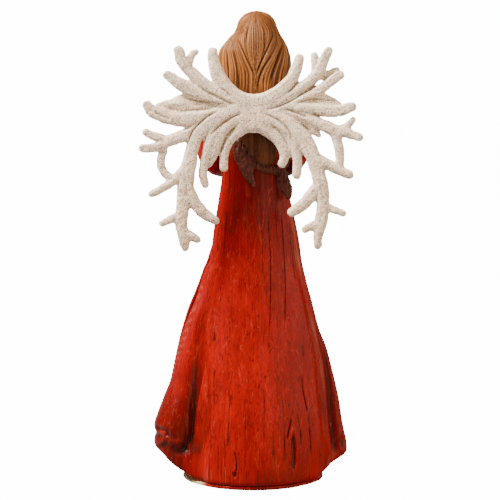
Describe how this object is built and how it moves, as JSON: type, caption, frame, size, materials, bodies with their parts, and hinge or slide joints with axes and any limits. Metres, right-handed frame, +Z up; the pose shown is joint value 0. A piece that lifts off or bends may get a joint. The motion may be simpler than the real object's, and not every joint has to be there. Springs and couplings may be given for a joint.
{
  "type": "resin angel figurine",
  "caption": "Standing gowned angel figure with long hair, a tied sash and branch-like glittered wings, cast in painted resin on a flat felted base.",
  "frame": {"origin": "middle of the felt pad's underside, on the surface that the figurine stands on", "axes": "+Z up through the head; the figure faces -Y and its wings are on the +Y side; +X is the figure's own left hand"},
  "size_m": [0.1371, 0.0865, 0.2926],
  "materials": {
    "gown_paint": "satin red paint over a carved wood grain, with a dark brown wash in the grooves",
    "cream_paint": "matt cream paint with a thin brown wash in the folds",
    "skin_paint": "smooth matt skin-tone paint",
    "hair_paint": "satin golden brown paint, darker between the locks",
    "sash_paint": "satin dark auburn paint on rough carving",
    "wing_paint": "off-white paint with fine silver and grey glitter",
    "felt": "thin brown self-adhesive felt",
    "dowel_steel": "plain cut steel rod"
  },
  "bodies": {
    "root": {"base_pad": "felt", "base_plinth": "gown_paint", "underdress": "cream_paint", "gown": "gown_paint", "left_gown_trim": "gown_paint", "right_gown_trim": "gown_paint", "left_sleeve": "gown_paint", "right_sleeve": "gown_paint", "left_cuff": "cream_paint", "right_cuff": "cream_paint", "left_hand": "skin_paint", "right_hand": "skin_paint", "head": "skin_paint", "hair": "hair_paint", "sash": "sash_paint", "wings": "wing_paint", "neck_dowel": "dowel_steel", "left_wing_dowel": "dowel_steel", "right_wing_dowel": "dowel_steel"}
  },
  "joints": []
}
